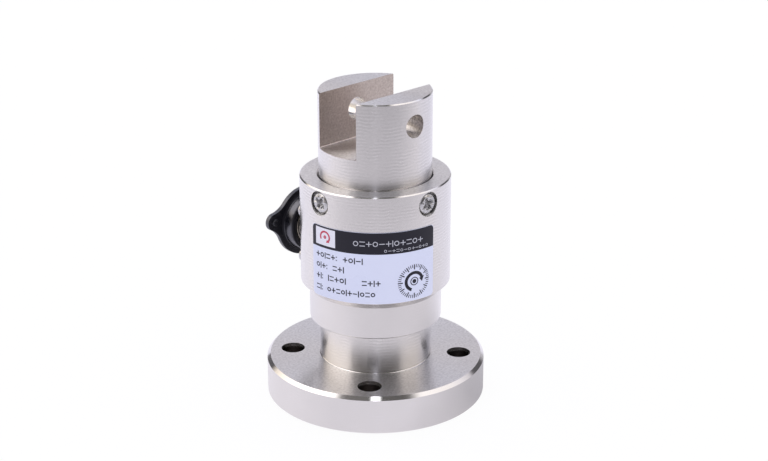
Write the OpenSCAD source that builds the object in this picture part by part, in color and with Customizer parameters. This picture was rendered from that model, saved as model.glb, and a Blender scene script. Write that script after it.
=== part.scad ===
// Flange to clevis torque sensor with a screwed cover, a signal socket and a rubber dust cap.
// Millimetres. Z is the torque axis and the flange's lower face lies on Z = 0.
// The clevis slot runs along X, its cross pin along Y, and the socket points along +Y.

/* [Flange] */
// Outer diameter of the mounting flange
flange_d = 60; // [57:0.5:80]
// Thickness of the mounting flange
flange_t = 10.5; // [6:0.5:16]
// Chamfer on the flange's upper edge
flange_edge = 0.9; // [0.3:0.1:1.5]
// Chamfer on the flange's lower edge
flange_foot = 0.3; // [0.1:0.1:1.5]
// Diameter of the circle that the bolt holes lie on
bolt_circle_d = 46; // [42:0.5:48]
// Diameter of the bolt holes
bolt_hole_d = 6.5; // [4.2:0.1:7]
// Number of bolt holes
bolt_count = 4; // [3:1:8]
// Angle from the cross pin's axis to the first bolt hole
bolt_turn = 42.5; // [0:0.5:90]

/* [Neck and collar] */
// Diameter of the neck between flange and collar
neck_d = 30.5; // [24:0.5:34]
// Length of the neck
neck_l = 11.4; // [8:0.2:20]
// Fillet where the neck meets the flange
neck_fillet = 0.4; // [0.2:0.1:1]
// Step from the upper shaft's surface out to the collar's
collar_step = 2.75; // [2.4:0.05:3.2]
// Length of the collar
collar_l = 10.4; // [8:0.1:16]
// Chamfer on the collar's edges
collar_edge = 0.3; // [0.1:0.1:0.4]

/* [Gauged bar] */
// Width across the flats of the square gauged bar
bar_w = 7; // [6:0.2:9]
// Length of the gauged bar between collar and shaft
bar_l = 19.7; // [18.6:0.1:24]
// Radius of the flare at each end of the bar
bar_flare = 1.5; // [0.8:0.1:2]

/* [Upper shaft and clevis] */
// Diameter of the upper shaft
shaft_d = 30.4; // [29:0.2:31.4]
// Length of the upper shaft, from the gauged bar to its top
shaft_l = 34; // [32:0.5:50]
// Chamfer on the shaft's edges
shaft_edge = 0.3; // [0.1:0.1:1]
// Width of the clevis slot
slot_w = 14; // [8:0.5:18]
// Depth of the clevis slot from the shaft's top
slot_depth = 15; // [12:0.5:17]
// Radius in the two corners of the slot's floor
slot_corner = 0.6; // [0.2:0.1:1.5]
// Diameter of the cross pin hole
pin_hole_d = 6.2; // [4:0.1:8]
// Distance from the shaft's top to the cross pin's axis
pin_drop = 6.9; // [5:0.1:9]

/* [Cover] */
// Wall of the cover round the upper shaft
cover_wall = 4.85; // [4.35:0.05:6.5]
// Length of the upper shaft that the cover reaches over
cover_reach = 10.8; // [9.6:0.1:13]
// Length of collar that the cover's lower end reaches over
cover_lap = 1.3; // [1.3:0.1:4]
// Radial gap between the cover and the upper shaft
cover_gap = 0.25; // [0.15:0.05:0.4]
// Radial gap between the cover and the collar
collar_gap = 0.15; // [0.1:0.05:0.3]
// Width of the flat ring that the cover's foot chamfer leaves
cover_land = 0.2; // [0.1:0.05:0.6]
// Chamfer on the cover's top edge
cover_edge = 0.3; // [0.1:0.1:0.8]

/* [Cover screws] */
// Thread diameter of the cover screws
cover_screw_d = 3; // [2.5:0.1:3]
// Length of the cover screws under the head
cover_screw_l = 8; // [6:0.5:9]
// Diameter of the cover screws' pan heads
cover_head_d = 5.6; // [4.6:0.1:5.8]
// Height of the cover screws' pan heads
cover_head_h = 2.4; // [1.6:0.1:2.6]
// Depth that a head's top lies below the cover's surface
head_sink = 0.2; // [0:0.1:0.4]
// Radial gap round a head in its counterbore
head_gap = 0.5; // [0.2:0.1:0.6]
// Distance from the cover's top to the screws' axes
screw_drop = 3.8; // [3.6:0.1:4.5]

/* [Label] */
// Width of the label, measured round the cover
label_w = 36; // [20:0.5:45]
// Height of the label
label_h = 20; // [10:0.5:20.5]
// Thickness of the label film
label_t = 0.15; // [0.1:0.05:0.3]
// Radius of the label's corners
label_corner = 1; // [0.5:0.1:2]
// Distance from the foot chamfer to the label's lower edge
label_lift = 0.15; // [0.1:0.05:1]
// Direction that the label's middle faces, turned from the front
label_turn = -46.2; // [-60:0.1:-30]

/* [Signal socket] */
// Distance from the counterbore over the collar up to the flange's pocket
socket_lift = 0.1; // [0.1:0.1:1]
// Width of the socket's square flange
socket_w = 17; // [16:0.1:18]
// Thickness of the socket's flange
socket_t = 1.9; // [1.2:0.1:2.4]
// Radius of the socket flange's corners
socket_corner = 1.6; // [0.8:0.1:1.8]
// Distance from the flange's edges to its screws
socket_margin = 1.9; // [1.8:0.1:2.3]
// Diameter of the socket's threaded barrel
barrel_d = 12; // [11:0.1:13]
// Length of the barrel in front of the flange
barrel_l = 7.7; // [6.4:0.1:10]
// Wall of the barrel's open front
barrel_wall = 1.1; // [0.9:0.05:1.5]
// Depth of the relief between flange and thread
relief_depth = 0.5; // [0.2:0.05:0.7]
// Depth of the insert's face inside the barrel
front_depth = 4.8; // [4:0.1:5.4]
// Step from the barrel's surface in to that of the body behind the flange
back_step = 0.4; // [0.2:0.05:0.6]
// Length of the socket's body behind the flange
socket_back_l = 4.6; // [3.6:0.1:5]
// Thickness of the gasket under the flange
gasket_t = 0.5; // [0.3:0.1:0.8]
// Diameter of the circle that the contact pins lie on
pin_circle_d = 5; // [4.6:0.1:5.2]
// Diameter of a contact pin's front
contact_d = 1; // [0.8:0.1:1.2]
// Length that a contact pin stands out of the insert
contact_l = 3.6; // [2:0.1:3.8]
// Thread diameter of the flange screws
socket_screw_d = 2; // [1.6:0.1:2]
// Length of the flange screws under the head
socket_screw_l = 5; // [4:0.1:5.4]
// Diameter of the flange screws' heads
socket_head_d = 4; // [3.2:0.1:4]
// Height of the flange screws' heads
socket_head_h = 1.6; // [1:0.1:1.8]

/* [Dust cap] */
// Wall of the cap's skirt at its lip
lip_wall = 1.6; // [1.2:0.1:2.2]
// Growth of the skirt's radius from its lip to the disc
skirt_taper = 0.4; // [0.1:0.05:0.8]
// Reach of the end disc beyond the skirt
disc_over = 1.7; // [1.1:0.1:3]
// Thickness of the cap's end disc
cap_t = 1.4; // [1:0.1:2]
// Distance from the socket's flange to the cap's lip
cap_lift = 4.5; // [2.4:0.1:5]
// Radial gap between the cap and the barrel
cap_gap = 0.2; // [0.1:0.05:0.3]
// Fillet between skirt and disc
cap_fillet = 0.8; // [0.4:0.1:1]
// Length of the pull tab beyond the disc
tab_l = 3.9; // [3.4:0.1:7]
// Width of the pull tab
tab_w = 4.9; // [4:0.1:6]
// Radius of the hollow where the tab runs into the disc
tab_blend = 6.8; // [1.5:0.1:9]
// Angle that the pull tab points above level
tab_tilt = 10.5; // [-30:0.5:60]
// Diameter of the nub at the tab's end
nub_d = 2; // [1.2:0.1:2.6]
// Height of the nub
nub_h = 0.8; // [0.4:0.1:1.2]

/* [Inside the cover] */
// Thickness of the terminal board
board_t = 1; // [0.8:0.1:1.6]
// Gap between the terminal board and the cover's bore
board_gap = 0.55; // [0.4:0.05:1]
// Width of a strain gauge
gauge_w = 5.4; // [4:0.1:5.6]
// Height of a strain gauge
gauge_h = 6; // [4:0.1:8]
// Thickness of a strain gauge
gauge_t = 0.12; // [0.1:0.01:0.2]
// Thickness of the silicone coat over the gauges
coat_t = 1.1; // [0.8:0.1:1.3]
// Height of the silicone coat
coat_h = 10; // [9:0.1:10.4]
// Diameter of the insulated lead wires
wire_d = 1; // [0.8:0.1:1.2]
// Diameter of the fine gauge leads
fine_wire_d = 0.3; // [0.2:0.05:0.4]
// Section diameter of the two seal rings
ring_d = 0.8; // [0.6:0.05:0.9]
// Length of a trimming resistor
resistor_l = 3.2; // [2:0.1:4]
// Width of a trimming resistor
resistor_w = 1.6; // [1.2:0.1:2.4]
// Thickness of a trimming resistor
resistor_t = 0.6; // [0.4:0.05:0.9]

/* [Hidden] */
$fn = 96;
cut = 0.5;
thread_gap = 0.05;
seat_gap = 0.05;
fine_gap = 0.02;
pass_gap = 0.2;
cover_screws = ["cover_screw_1", "cover_screw_2", "cover_screw_3", "cover_screw_4"];
socket_screws = ["socket_screw_1", "socket_screw_2", "socket_screw_3", "socket_screw_4"];
contact_pins = ["contact_pin_1", "contact_pin_2", "contact_pin_3", "contact_pin_4"];
cup_sleeves = ["cup_sleeve_1", "cup_sleeve_2", "cup_sleeve_3", "cup_sleeve_4"];
lead_wires = ["lead_wire_1", "lead_wire_2", "lead_wire_3", "lead_wire_4"];
strain_gauges = ["strain_gauge_1", "strain_gauge_2", "strain_gauge_3", "strain_gauge_4"];
gauge_leads = ["gauge_leads_1", "gauge_leads_2", "gauge_leads_3", "gauge_leads_4"];
trim_resistors = ["trim_resistor_1", "trim_resistor_2", "trim_resistor_3"];

// Levels up the torque axis
collar_z = flange_t + neck_l;
bar_z = collar_z + collar_l;
shaft_z = bar_z + bar_l;
top_z = shaft_z + shaft_l;
cover_z = bar_z - cover_lap;
cover_top = shaft_z + cover_reach;
screw_z = cover_top - screw_drop;
pin_z = top_z - pin_drop;
slot_z = top_z - slot_depth;

// Radii of the cover's outside, its bore and the counterbore over the collar
bore_r = shaft_d / 2 + cover_gap;
cover_r = bore_r + cover_wall;
collar_r = shaft_d / 2 + collar_step;
lap_r = collar_r + collar_gap;
lap_top = bar_z + 2 * collar_gap;
foot_r = lap_r + cover_land;
foot_h = cover_r - foot_r;

// Seats of the cover screws, measured from the torque axis
screw_spare = 1;
screw_seat = cover_r - head_sink - cover_head_h;
screw_hole_end = screw_seat - cover_screw_l - screw_spare;
counterbore_d = cover_head_d + 2 * head_gap;
screw_pass_d = cover_screw_d + 2 * pass_gap;

// Seal ring grooves: as deep as the ring needs, and wider than it
ring_room = 0.05;
groove_w = ring_d + 0.2;
upper_groove_r = bore_r - ring_d - ring_room;
lower_groove_r = lap_r - ring_d - ring_room;
upper_groove_z = shaft_z + 1.2 * ring_d;
lower_groove_z = bar_z - (cover_lap + groove_w) / 2;

// The socket's height, and its faces' distances from the torque axis
pocket_gap = 0.1;
pocket_w = socket_w + 2 * pocket_gap;
socket_z = lap_top + socket_lift + pocket_w / 2;
flat_y = sqrt(pow(cover_r, 2) - pow(pocket_w / 2, 2)) - pocket_gap;
flange_y = flat_y + gasket_t;
barrel_y = flange_y + socket_t;
barrel_end = barrel_y + barrel_l;
back_y = flange_y - socket_back_l;
socket_pitch = socket_w - 2 * socket_margin;

// Diameters and faces of what the socket holds
relief_l = 0.8;
barrel_edge = 0.4;
barrel_bore_d = barrel_d - 2 * barrel_wall;
socket_back_d = barrel_d - 2 * back_step;
socket_hole_d = socket_back_d + 3 * pass_gap;
insert_front = barrel_end - front_depth;
insert_lip = 1.2;
insert_step = 0.5;
insert_seat = insert_front - insert_lip;
insert_d = barrel_bore_d - 2 * insert_step;
insert_rear = 0.6;
insert_back = back_y - insert_rear;
key_w = 1.2;
key_h = 0.6;

// Solder cups behind the insert and the wires in them
cup_l = 3.4;
cup_y = insert_back - cup_l;
cup_d = 1.5;
cup_bore = 1.8;
core_d = 0.8 * wire_d;
cup_bore_d = core_d + pass_gap;
shrink_wall = 0.3;
shrink_d = cup_d + 2 * shrink_wall;
wire_start = 0.6;
wire_bend = 2;
wire_fan = 35;
lead_slant = 48;

// The terminal board lies on the collar, clear of the bar's flare
board_top = bar_z + board_t;
board_r = bore_r - board_gap;
root_r = bar_w / sqrt(2) + 0.15;
board_bore_r = root_r + bar_flare + 0.35;
bar_mid = bar_z + bar_l / 2;
coat_w = bar_w + 2 * (gauge_t + fine_gap + coat_t);
coat_z = bar_mid - coat_h / 2;
resistor_turn = 40;

// Dust cap faces along its own axis, and the radii round it
lip_y = barrel_y + cap_lift;
disc_y = barrel_end + cap_gap;
mouth_r = barrel_d / 2 + cap_gap;
lip_r = mouth_r + lip_wall;
skirt_r = lip_r + skirt_taper;
disc_r = skirt_r + disc_over;
tab_reach = disc_r + tab_l;
lip_edge = 0.3;

// Points of an arc about [cx, cy], from angle a to angle b
function arc(cx, cy, r, a, b, n = 8) =
    [for (i = [0:n]) [cx + r * cos(a + (b - a) * i / n), cy + r * sin(a + (b - a) * i / n)]];

// Turns local +Z outwards at a height: 0 faces -Y, 90 faces +X, 180 faces +Y
module facing(turn, z) {
    translate([0, 0, z])
        rotate([0, 0, turn - 90])
            rotate([0, 90, 0])
                children();
}

// Places children on the socket's axis, local +Z outwards and local +X downwards
module on_socket(y = 0) {
    facing(180, socket_z)
        translate([0, 0, y])
            children();
}

// Centres of the four flange screws round the socket's axis
module at_socket_corner(i) {
    rotate([0, 0, 45 + 90 * i])
        translate([socket_pitch / sqrt(2), 0, 0])
            rotate([0, 0, -45 - 90 * i])
                children();
}

// Square with rounded corners, centred
module rounded_square(w, r) {
    square([w, w - 2 * r], center = true);
    square([w - 2 * r, w], center = true);
    for (x = [-1, 1], y = [-1, 1])
        translate([x * (w / 2 - r), y * (w / 2 - r)])
            circle(r);
}

// Pan head screw, its seat on Z = 0 and its shank down local -Z
module pan_screw(d, length, head_d, head_h) {
    side_h = 0.42 * head_h;
    flat_r = 0.225 * head_d;
    dome_r = head_d / 2 - flat_r;
    dome_h = head_h - side_h;
    point_l = 0.15 * d;
    recess_w = 0.17 * head_d;
    recess_l = 0.58 * head_d;
    recess_z = 0.45 * head_h;
    difference() {
        union() {
            rotate_extrude()
                polygon(concat(
                    [[0, 0], [head_d / 2, 0], [head_d / 2, side_h]],
                    [for (a = [15:15:75]) [flat_r + dome_r * cos(a), side_h + dome_h * sin(a)]],
                    [[flat_r, head_h], [0, head_h]]));
            translate([0, 0, -length])
                cylinder(d1 = 0.75 * d, d2 = d, h = point_l);
            translate([0, 0, point_l - length])
                cylinder(d = d, h = length - point_l);
        }
        for (turn = [0, 90])
            rotate([0, 0, turn])
                translate([-recess_l / 2, -recess_w / 2, recess_z])
                    cube([recess_l, recess_w, head_h]);
    }
}

// Wire that starts at the origin along +X, turns towards +Y, and runs on straight
module bent_wire(first, bend_r, turn, last, d) {
    rotate([0, 90, 0])
        cylinder(d = d, h = first, $fn = 24);
    translate([first, bend_r, 0])
        rotate([0, 0, -90])
            rotate_extrude(angle = turn, $fn = 48)
                translate([bend_r, 0])
                    circle(d = d, $fn = 24);
    translate([first + bend_r * sin(turn), bend_r * (1 - cos(turn)), 0])
        rotate([0, 0, turn])
            rotate([0, 90, 0])
                cylinder(d = d, h = last, $fn = 24);
}

// Lays a bent wire's start along local -Z and its bend towards local +X
module dropping() {
    rotate([0, 90, 0])
        rotate([90, 0, 0])
            children();
}

// Turned steel body: flange, neck and collar below, clevis shaft above, square gauged bar between
module elastic_body() {
    neck_r = neck_d / 2;
    shaft_r = shaft_d / 2;
    flange_r = flange_d / 2;
    e = flange_edge;
    f = flange_foot;
    c = collar_edge;
    s = shaft_edge;
    color("silver")
        difference() {
            union() {
                rotate_extrude()
                    polygon(concat(
                        [[0, 0], [flange_r - f, 0], [flange_r, f], [flange_r, flange_t - e]],
                        [[flange_r - e, flange_t]],
                        arc(neck_r + neck_fillet, flange_t + neck_fillet, neck_fillet, -90, -180),
                        [[neck_r, collar_z], [collar_r - c, collar_z], [collar_r, collar_z + c]],
                        [[collar_r, lower_groove_z], [lower_groove_r, lower_groove_z]],
                        [[lower_groove_r, lower_groove_z + groove_w]],
                        [[collar_r, lower_groove_z + groove_w], [collar_r, bar_z]],
                        arc(root_r + bar_flare, bar_z + bar_flare, bar_flare, -90, -180),
                        [[0, bar_z + bar_flare]]));
                rotate_extrude()
                    polygon(concat(
                        [[0, shaft_z - bar_flare]],
                        arc(root_r + bar_flare, shaft_z - bar_flare, bar_flare, 180, 90),
                        [[shaft_r - s, shaft_z], [shaft_r, shaft_z + s]],
                        [[shaft_r, upper_groove_z], [upper_groove_r, upper_groove_z]],
                        [[upper_groove_r, upper_groove_z + groove_w]],
                        [[shaft_r, upper_groove_z + groove_w]],
                        [[shaft_r, top_z - s], [shaft_r - s, top_z], [0, top_z]]));
                translate([-bar_w / 2, -bar_w / 2, bar_z])
                    cube([bar_w, bar_w, bar_l]);
            }
            bolt_holes();
            clevis_slot();
            translate([0, 0, pin_z])
                rotate([90, 0, 0])
                    cylinder(d = pin_hole_d, h = shaft_d + 2 * cut, center = true);
            for (i = [0:3])
                facing(90 * i, screw_z)
                    translate([0, 0, screw_hole_end])
                        cylinder(d = cover_screw_d + 2 * thread_gap, h = shaft_r);
        }
}

// Bolt holes through the flange
module bolt_holes() {
    for (i = [0:bolt_count - 1])
        rotate([0, 0, bolt_turn - 90 + 360 * i / bolt_count])
            translate([bolt_circle_d / 2, 0, -cut])
                cylinder(d = bolt_hole_d, h = flange_t + 2 * cut);
}

// Clevis slot with its two rounded floor corners
module clevis_slot() {
    r = slot_corner;
    translate([0, 0, slot_z])
        rotate([90, 0, 90])
            linear_extrude(height = shaft_d + 2 * cut, center = true) {
                translate([-slot_w / 2, r])
                    square([slot_w, slot_depth + cut - r]);
                translate([-slot_w / 2 + r, 0])
                    square([slot_w - 2 * r, slot_depth]);
                for (side = [-1, 1])
                    translate([side * (slot_w / 2 - r), r])
                        circle(r, $fn = 32);
            }
}

// Thick tube over the gauged bar, screwed to the shaft and free of the collar
module cover_sleeve() {
    color("lightgray")
        difference() {
            rotate_extrude()
                polygon([
                    [lap_r, cover_z], [foot_r, cover_z], [cover_r, cover_z + foot_h],
                    [cover_r, cover_top - cover_edge], [cover_r - cover_edge, cover_top],
                    [bore_r + cover_edge, cover_top], [bore_r, cover_top - cover_edge],
                    [bore_r, lap_top], [lap_r, lap_top]]);
            for (i = [0:3])
                facing(90 * i, screw_z) {
                    translate([0, 0, screw_seat])
                        cylinder(d = counterbore_d, h = cover_r);
                    translate([0, 0, bore_r / 2])
                        cylinder(d = screw_pass_d, h = cover_r);
                }
            on_socket(flat_y)
                translate([-pocket_w / 2, -pocket_w / 2, 0])
                    cube([pocket_w, pocket_w, cover_r]);
            on_socket(bore_r / 2)
                cylinder(d = socket_hole_d, h = cover_r);
            for (i = [0:3])
                on_socket(barrel_y - socket_screw_l - cut)
                    at_socket_corner(i)
                        cylinder(d = socket_screw_d + 2 * thread_gap, h = cover_r);
        }
}

// Pan head screws through the cover into the shaft
module cover_screw(i) {
    color("gainsboro")
        facing(90 * i, screw_z)
            translate([0, 0, screw_seat])
                rotate([0, 0, 25 + 40 * i])
                    pan_screw(cover_screw_d, cover_screw_l, cover_head_d, cover_head_h);
}

// Printed film round the front of the cover
module rating_label() {
    spread = label_w / cover_r * 180 / PI;
    low = cover_z + foot_h + label_lift;
    r = label_corner;
    waste = concat([[-1.2 * r, r], [r, r], [r, -1.2 * r]], arc(-r, -r, r, 9, 81, 4));
    color("lavender")
        difference() {
            rotate([0, 0, label_turn - 90 - spread / 2])
                rotate_extrude(angle = spread)
                    translate([cover_r, low])
                        square([label_t, label_h]);
            for (side = [-1, 1], end = [-1, 1])
                facing(label_turn + side * spread / 2, low + label_h / 2 + end * label_h / 2)
                    translate([0, 0, cover_r - cut])
                        linear_extrude(height = label_t + 2 * cut)
                            polygon([for (q = waste) [-end * q[0], side * q[1]]]);
        }
}

// Socket shell in one piece: back body, square flange and threaded barrel
module socket_shell() {
    barrel_r = barrel_d / 2;
    color("silver") {
        on_socket()
            difference() {
                union() {
                    translate([0, 0, back_y])
                        cylinder(d = socket_back_d, h = flange_y - back_y);
                    translate([0, 0, flange_y])
                        linear_extrude(height = socket_t)
                            rounded_square(socket_w, socket_corner);
                    rotate_extrude()
                        polygon([
                            [0, flange_y], [barrel_r - relief_depth, flange_y],
                            [barrel_r - relief_depth, barrel_y + relief_l],
                            [barrel_r, barrel_y + relief_l + relief_depth],
                            [barrel_r, barrel_end - barrel_edge], [barrel_r - barrel_edge, barrel_end],
                            [0, barrel_end]]);
                }
                translate([0, 0, insert_seat])
                    cylinder(d = barrel_bore_d, h = barrel_l + cut);
                translate([0, 0, back_y - cut])
                    cylinder(d = insert_d + 2 * seat_gap, h = barrel_l + socket_back_l);
                for (i = [0:3])
                    at_socket_corner(i)
                        translate([0, 0, flange_y - cut])
                            cylinder(d = socket_screw_d + pass_gap, h = socket_t + 2 * cut);
            }
        on_socket(insert_front + seat_gap)
            translate([-barrel_r + barrel_wall / 2, -key_w / 2, 0])
                cube([barrel_wall / 2 + key_h, key_w, 0.75 * front_depth]);
    }
}

// Moulded insulator inside the shell, with a hole for each contact pin
module socket_insert() {
    color("dimgray")
        on_socket()
            difference() {
                union() {
                    translate([0, 0, insert_back])
                        cylinder(d = insert_d, h = insert_front - insert_back);
                    translate([0, 0, insert_seat + seat_gap])
                        cylinder(d = barrel_bore_d - 2 * seat_gap, h = insert_lip - seat_gap);
                }
                for (i = [0:3])
                    rotate([0, 0, 45 + 90 * i])
                        translate([pin_circle_d / 2, 0, insert_back - cut])
                            cylinder(d = contact_d + 2 * fine_gap, h = barrel_end, $fn = 32);
            }
}

// Flat rubber gasket between the socket's flange and the cover
module socket_gasket() {
    color("black")
        on_socket(flat_y)
            linear_extrude(height = gasket_t)
                difference() {
                    rounded_square(socket_w, socket_corner);
                    circle(d = socket_hole_d);
                    for (i = [0:3])
                        at_socket_corner(i)
                            circle(d = socket_screw_d + 2 * pass_gap, $fn = 32);
                }
}

// Small pan head screws at the flange's corners
module socket_screw(i) {
    color("gainsboro")
        on_socket(barrel_y)
            at_socket_corner(i)
                rotate([0, 0, 15 + 35 * i])
                    pan_screw(socket_screw_d, socket_screw_l, socket_head_d, socket_head_h);
}

// Contact pin: round front, and a solder cup behind the insert
module contact_pin(i) {
    contact_tip = insert_front + contact_l;
    color("gold")
        on_socket()
            rotate([0, 0, 45 + 90 * i])
                translate([pin_circle_d / 2, 0, 0])
                    rotate_extrude($fn = 32)
                        polygon([
                            [cup_bore_d / 2, cup_y], [cup_d / 2, cup_y],
                            [cup_d / 2, insert_back - seat_gap], [contact_d / 2, insert_back - seat_gap],
                            [contact_d / 2, contact_tip - contact_d / 2],
                            [0.4 * contact_d, contact_tip - 0.15 * contact_d],
                            [0.2 * contact_d, contact_tip], [0, contact_tip],
                            [0, cup_y + cup_bore], [cup_bore_d / 2, cup_y + cup_bore]]);
}

// Shrink sleeve over a solder cup and the wire's first stretch
module cup_sleeve(i) {
    color("darkred")
        on_socket()
            rotate([0, 0, 45 + 90 * i])
                translate([pin_circle_d / 2, 0, cup_y - wire_start])
                    difference() {
                        cylinder(d = shrink_d, h = cup_l, $fn = 32);
                        translate([0, 0, -cut])
                            cylinder(d = cup_d + 2 * fine_gap, h = cup_l + 2 * cut, $fn = 32);
                    }
}

// Insulated wire from a solder cup down to the terminal board, its bared end in the cup
module lead_wire(i) {
    colours = ["crimson", "seagreen", "white", "black"];
    across = pin_circle_d / 2 * cos(45);
    upper = i == 1 || i == 2;
    side = i < 2 ? 1 : -1;
    drop = (socket_z + across - board_top) / cos(wire_fan);
    color(colours[i])
        difference() {
            on_socket()
                translate([upper ? -across : across, side * across, 0]) {
                    translate([0, 0, cup_y])
                        cylinder(d = core_d, h = cup_bore - seat_gap, $fn = 24);
                    translate([0, 0, cup_y])
                        rotate([0, 0, side * (upper ? wire_fan : 0)])
                            dropping()
                                bent_wire(wire_start, wire_bend, 90, drop, wire_d);
                }
            translate([-cover_r, -cover_r, board_top - 2 * drop])
                cube([2 * cover_r, 2 * cover_r, 2 * drop]);
        }
}

// Foil gauge on one face of the bar
module strain_gauge(i) {
    color("goldenrod")
        facing(90 * i, bar_mid)
            translate([-gauge_h / 2, -gauge_w / 2, bar_w / 2])
                cube([gauge_h, gauge_w, gauge_t]);
}

// Silicone coat round the bar and its gauges
module gauge_coat() {
    color("whitesmoke")
        translate([0, 0, coat_z])
            linear_extrude(height = coat_h)
                difference() {
                    rounded_square(coat_w, coat_t);
                    square(bar_w + 2 * (gauge_t + fine_gap), center = true);
                }
}

// Two fine leads that slant from a gauge's coat out to the terminal board
module gauge_lead_pair(i) {
    start_r = bar_w / 2 + gauge_t + coat_t / 2;
    drop = coat_z - board_top;
    color("peru")
        intersection() {
            for (side = [-1, 1])
                rotate([0, 0, 90 * i - 90])
                    translate([start_r, side * 2 * fine_wire_d, coat_z])
                        rotate([0, 90 + lead_slant, 0])
                            cylinder(d = fine_wire_d, h = 4 * drop, center = true, $fn = 24);
            translate([-board_r, -board_r, board_top])
                cube([2 * board_r, 2 * board_r, drop]);
        }
}

// Ring shaped terminal board on the collar's top
module terminal_board() {
    color("darkgreen")
        translate([0, 0, bar_z])
            difference() {
                cylinder(r = board_r, h = board_t);
                translate([0, 0, -cut])
                    cylinder(r = board_bore_r, h = board_t + 2 * cut);
            }
}

// Trimming resistor on the terminal board
module trim_resistor(i) {
    color("black")
        rotate([0, 0, -90 + resistor_turn * (i - 1)])
            translate([(board_r + board_bore_r - resistor_w) / 2, -resistor_l / 2, board_top])
                cube([resistor_w, resistor_l, resistor_t]);
}

// Rubber seal ring in its groove
module seal_ring(groove_r, z) {
    color("black")
        translate([0, 0, z + groove_w / 2])
            rotate_extrude()
                translate([groove_r + ring_room / 2 + ring_d / 2, 0])
                    circle(d = ring_d, $fn = 32);
}

// Outline of the cap's disc with its pull tab along local +X. A hollow runs tangent from
// the disc to the tab's side, or to its round end where the side is too short for that.
module cap_outline() {
    half = tab_w / 2;
    end_x = tab_reach - half;
    side_x = sqrt(pow(disc_r + tab_blend, 2) - pow(half + tab_blend, 2));
    short = end_x < side_x;
    blend_x = short ? (pow(side_x, 2) + pow(end_x, 2)) / (2 * end_x) : side_x;
    blend_y = sqrt(pow(disc_r + tab_blend, 2) - pow(blend_x, 2));
    meet_y = disc_r * blend_y / (disc_r + tab_blend);
    meet_x = short ? end_x + half * (blend_x - end_x) / (half + tab_blend) : side_x;
    circle(disc_r);
    difference() {
        translate([0, -meet_y])
            square([meet_x, 2 * meet_y]);
        for (side = [-1, 1])
            translate([blend_x, side * blend_y])
                circle(tab_blend);
    }
    translate([0, -half])
        square([end_x, tab_w]);
    translate([end_x, 0])
        circle(half);
}

// Moulded rubber cap: disc with pull tab, and a skirt that grips the barrel
module dust_cap() {
    mid = disc_y + cap_t / 2;
    rim_r = nub_d / 2;
    color("black")
        on_socket() {
            rotate([0, 0, 90 + tab_tilt]) {
                translate([0, 0, disc_y])
                    linear_extrude(height = cap_t)
                        cap_outline();
                translate([tab_reach - tab_w / 2, 0, 0])
                    rotate_extrude($fn = 48)
                        polygon([
                            [0, disc_y - nub_h], [0.6 * rim_r, disc_y - nub_h],
                            [0.84 * rim_r, disc_y - 0.88 * nub_h], [rim_r, disc_y - 0.55 * nub_h],
                            [rim_r, mid], [0, mid]]);
            }
            rotate_extrude()
                polygon(concat(
                    [[mouth_r, lip_y + lip_edge], [mouth_r + lip_edge, lip_y]],
                    [[lip_r - lip_edge, lip_y], [lip_r, lip_y + lip_edge]],
                    [[skirt_r, disc_y - cap_fillet]],
                    arc(skirt_r + cap_fillet, disc_y - cap_fillet, cap_fillet, 180, 90),
                    [[skirt_r + cap_fillet, mid], [mouth_r, mid]]));
        }
}

elastic_body();
cover_sleeve();
rating_label();
socket_shell();
socket_insert();
socket_gasket();
dust_cap();
terminal_board();
gauge_coat();
seal_ring(upper_groove_r, upper_groove_z);  // upper_seal_ring
seal_ring(lower_groove_r, lower_groove_z);  // lower_seal_ring
for (i = [0:3]) {
    cover_screw(i);
    socket_screw(i);
    contact_pin(i);
    cup_sleeve(i);
    lead_wire(i);
    strain_gauge(i);
    gauge_lead_pair(i);
}
for (i = [0:2])
    trim_resistor(i);
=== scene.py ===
"""A flange to clevis torque sensor with a screwed cover, a signal socket and a rubber dust cap."""
import math

import bmesh
import bpy
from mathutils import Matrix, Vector, noise


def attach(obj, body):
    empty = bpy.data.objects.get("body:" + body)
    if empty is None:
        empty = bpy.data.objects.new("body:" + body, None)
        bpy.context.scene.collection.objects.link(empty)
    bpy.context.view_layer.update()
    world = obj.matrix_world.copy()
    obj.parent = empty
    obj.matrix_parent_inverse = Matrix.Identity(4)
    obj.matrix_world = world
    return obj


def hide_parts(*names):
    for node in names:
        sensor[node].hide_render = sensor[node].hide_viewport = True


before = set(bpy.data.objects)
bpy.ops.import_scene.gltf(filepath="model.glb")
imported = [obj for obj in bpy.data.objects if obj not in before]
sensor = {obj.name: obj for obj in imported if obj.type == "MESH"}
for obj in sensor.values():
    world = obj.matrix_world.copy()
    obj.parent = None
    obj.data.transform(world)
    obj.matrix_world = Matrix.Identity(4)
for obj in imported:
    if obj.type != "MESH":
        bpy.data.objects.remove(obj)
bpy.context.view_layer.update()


# ---------------------------------------------------------------- Camera, table and light tent
# The sensor stands on a white table in a light tent. The tent glows at both sides and behind,
# and is open and dark where the camera looks in, with one small bright lamp over the camera.
camera_azimuth = math.radians(-43.5)
camera_reach = 0.4524
camera_height = 0.2210
camera_tilt = math.radians(21.145)
camera_yaw = math.radians(0.296)
to_camera = (math.sin(camera_azimuth), -math.cos(camera_azimuth), 0)
to_right = (math.cos(camera_azimuth), math.sin(camera_azimuth), 0)

camera = bpy.data.objects.new("camera", bpy.data.cameras.new("camera"))
camera.data.sensor_width = 36
camera.data.lens = 84
camera.data.clip_start = 0.01
camera.data.clip_end = 20
camera.location = (camera_reach * to_camera[0], camera_reach * to_camera[1], camera_height)
camera.rotation_euler = (math.pi / 2 - camera_tilt, 0, camera_azimuth - camera_yaw)
bpy.context.scene.collection.objects.link(camera)
bpy.context.scene.camera = camera
bpy.context.scene.view_settings.view_transform = "Standard"


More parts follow.
